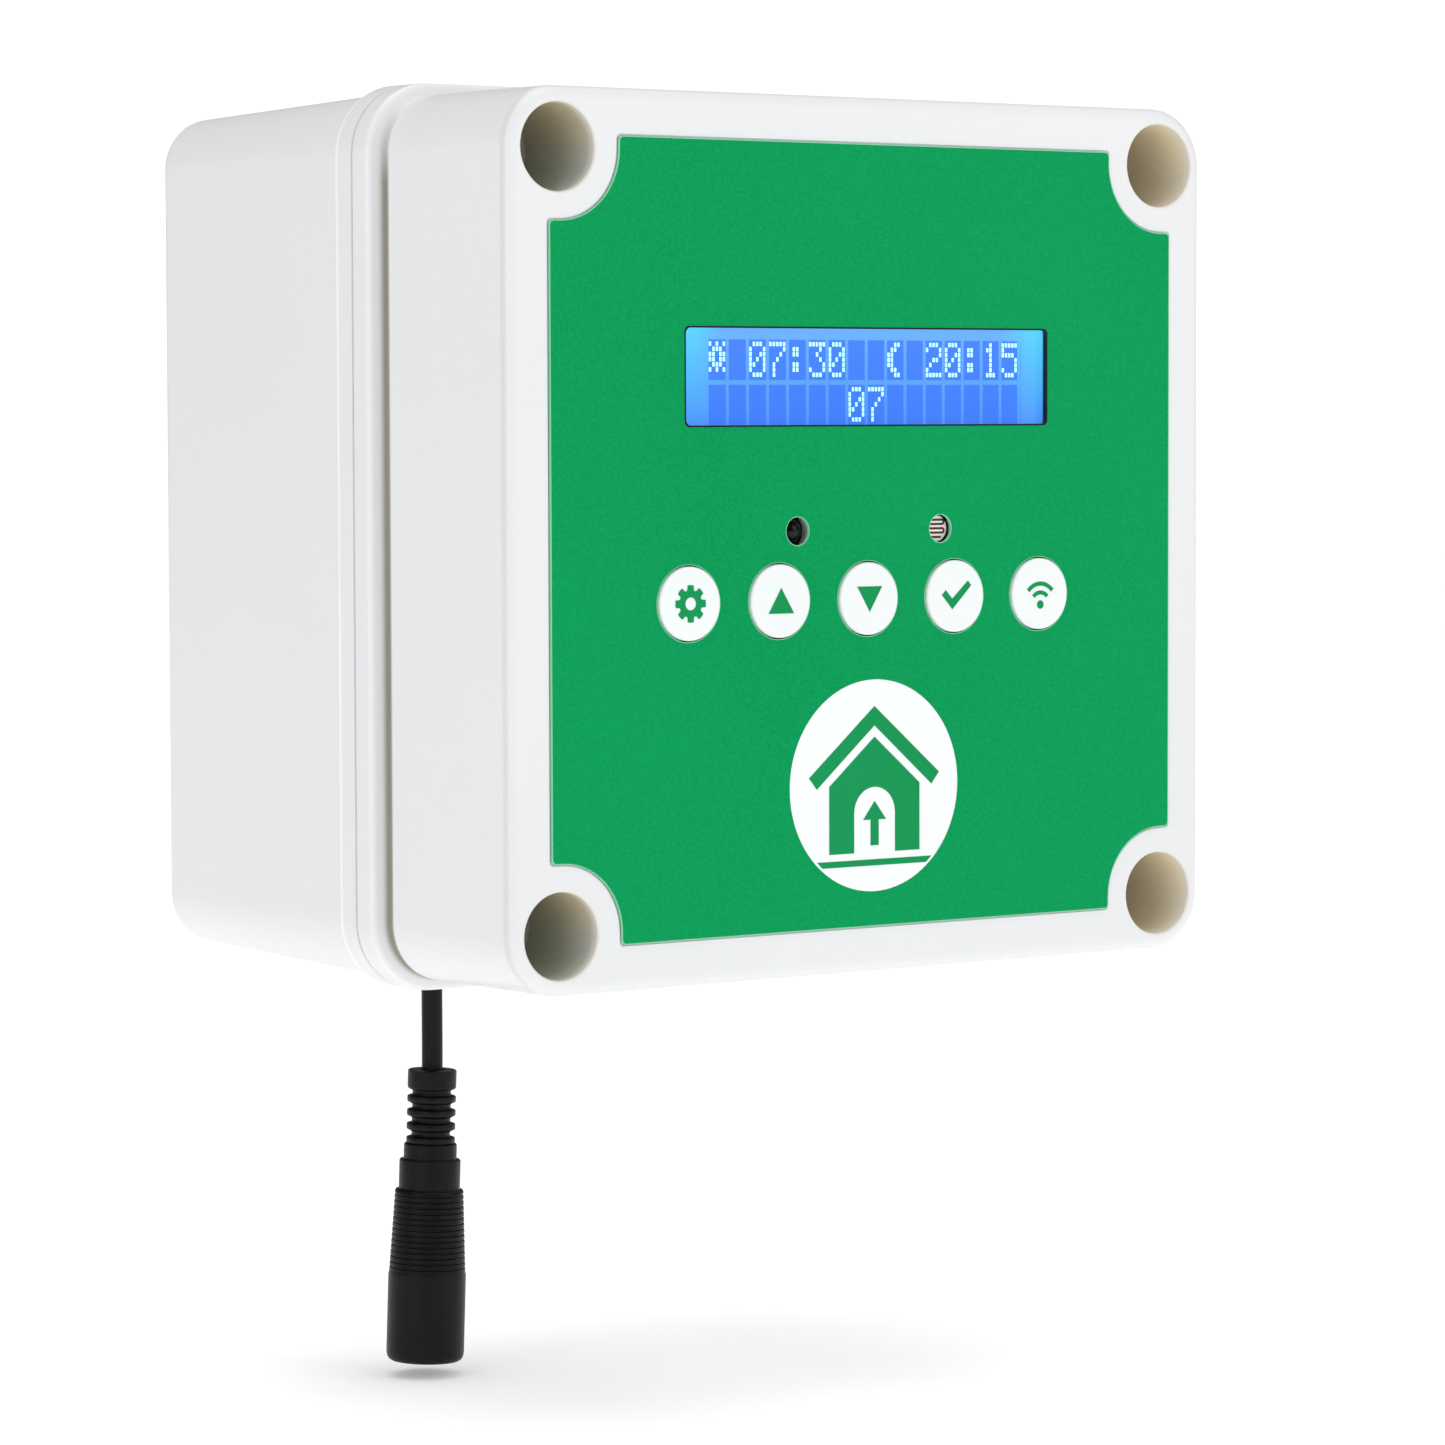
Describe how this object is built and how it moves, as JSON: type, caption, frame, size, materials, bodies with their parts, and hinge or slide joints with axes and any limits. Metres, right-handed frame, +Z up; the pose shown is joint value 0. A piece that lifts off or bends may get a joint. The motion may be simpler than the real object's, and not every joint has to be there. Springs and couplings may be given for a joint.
{
  "type": "automatic coop door opener",
  "caption": "Wall-mounted automatic coop door opener: square sealed box with display, push buttons and light sensor, geared cord drum inside, short power lead with barrel socket.",
  "frame": {"origin": "middle of the flat back face that rests on the wall", "axes": "+X right as seen from the front, +Y into the wall along the back face's normal, +Z up"},
  "size_m": [0.1286, 0.0948, 0.1889],
  "materials": {
    "housing": "satin moulded ABS, cool off-white, slightly translucent",
    "front_print": "fine matt printed polyester sheet, green",
    "button_cap": "white moulded cap with a green printed sign",
    "display": "blue backlit liquid crystal glass",
    "black_steel": "black painted pressed steel",
    "black_plastic": "black moulded plastic",
    "soft_black": "soft black PVC, semi-matt",
    "seal_rubber": "black foam rubber",
    "dark_lens": "black glossy infrared lens",
    "sensor_ceramic": "pale ceramic with a red-brown light-sensitive track",
    "circuit_board": "green solder resist on glass fibre",
    "screw_steel": "plain zinc-plated steel",
    "zinc_steel": "zinc-plated steel sheet",
    "brass": "turned brass",
    "nylon": "natural white nylon",
    "gearbox_metal": "grey die-cast zinc",
    "terminal_plastic": "green moulded terminal block"
  },
  "bodies": {
    "case": {"front_cover": "housing", "rear_case": "housing", "seal_gasket": "seal_rubber", "front_sheet": "front_print", "infrared_receiver": "dark_lens", "light_sensor": "sensor_ceramic", "display_bezel": "black_steel", "display_glass": "display", "display_board": "circuit_board", "main_board": "circuit_board", "power_terminal": "terminal_plastic", "motor_terminal": "terminal_plastic", "radio_module": "circuit_board", "gearbox_case": "gearbox_metal", "gearbox_cover": "gearbox_metal", "shaft_bush": "brass", "idler_pin": "screw_steel", "motor_can": "zinc_steel", "motor_bracket": "zinc_steel", "cord_bush": "black_plastic", "lead_grommet": "seal_rubber", "power_lead": "soft_black", "dc_socket": "soft_black", "dc_socket_pin": "zinc_steel", "dc_socket_sleeve": "zinc_steel", "power_wire": "soft_black", "motor_wire": "soft_black", "switch_settings": "black_steel", "switch_open": "black_steel", "switch_close": "black_steel", "switch_test": "black_steel", "switch_learn": "black_steel", "cover_screw_1": "screw_steel", "board_screw_1": "screw_steel", "cover_screw_2": "screw_steel", "board_screw_2": "screw_steel", "cover_screw_3": "screw_steel", "board_screw_3": "screw_steel", "cover_screw_4": "screw_steel", "board_screw_4": "screw_steel", "bracket_screw_1": "screw_steel", "gearbox_screw_1": "screw_steel", "bracket_screw_2": "screw_steel", "gearbox_screw_2": "screw_steel"},
    "drum": {"cord_drum": "nylon", "output_shaft": "screw_steel", "output_gear": "screw_steel", "drum_screw": "screw_steel"},
    "idler": {"idler_gear": "nylon"},
    "rotor": {"motor_pinion": "brass"},
    "settings_key": {"button_settings": "button_cap", "plunger_settings": "black_plastic"},
    "open_key": {"button_open": "button_cap", "plunger_open": "black_plastic"},
    "close_key": {"button_close": "button_cap", "plunger_close": "black_plastic"},
    "test_key": {"button_test": "button_cap", "plunger_test": "black_plastic"},
    "learn_key": {"button_learn": "button_cap", "plunger_learn": "black_plastic"}
  },
  "joints": [
    {"name": "press_settings", "type": "slide", "parent": "case", "child": "settings_key", "axis": [0, 1, 0], "range_m": [0, 0.0005], "stiffness_N_per_m": 2500, "springref_m": -0.0003},
    {"name": "press_open", "type": "slide", "parent": "case", "child": "open_key", "axis": [0, 1, 0], "range_m": [0, 0.0005], "stiffness_N_per_m": 2500, "springref_m": -0.0003},
    {"name": "press_close", "type": "slide", "parent": "case", "child": "close_key", "axis": [0, 1, 0], "range_m": [0, 0.0005], "stiffness_N_per_m": 2500, "springref_m": -0.0003},
    {"name": "press_test", "type": "slide", "parent": "case", "child": "test_key", "axis": [0, 1, 0], "range_m": [0, 0.0005], "stiffness_N_per_m": 2500, "springref_m": -0.0003},
    {"name": "press_learn", "type": "slide", "parent": "case", "child": "learn_key", "axis": [0, 1, 0], "range_m": [0, 0.0005], "stiffness_N_per_m": 2500, "springref_m": -0.0003},
    {"name": "drum_turn", "type": "hinge", "parent": "case", "child": "drum", "pos_m": [0, -0.028, -0.008], "axis": [1, 0, 0], "continuous": true},
    {"name": "idler_turn", "type": "hinge", "parent": "case", "child": "idler", "pos_m": [0, -0.028, 0.0064], "axis": [1, 0, 0], "continuous": true},
    {"name": "motor_turn", "type": "hinge", "parent": "case", "child": "rotor", "pos_m": [0, -0.028, -0.008], "axis": [1, 0, 0], "continuous": true}
  ],
  "couplings": [
    {"joint": "idler_turn", "follows": "drum_turn", "ratio": -3},
    {"joint": "motor_turn", "follows": "drum_turn", "ratio": 9}
  ]
}
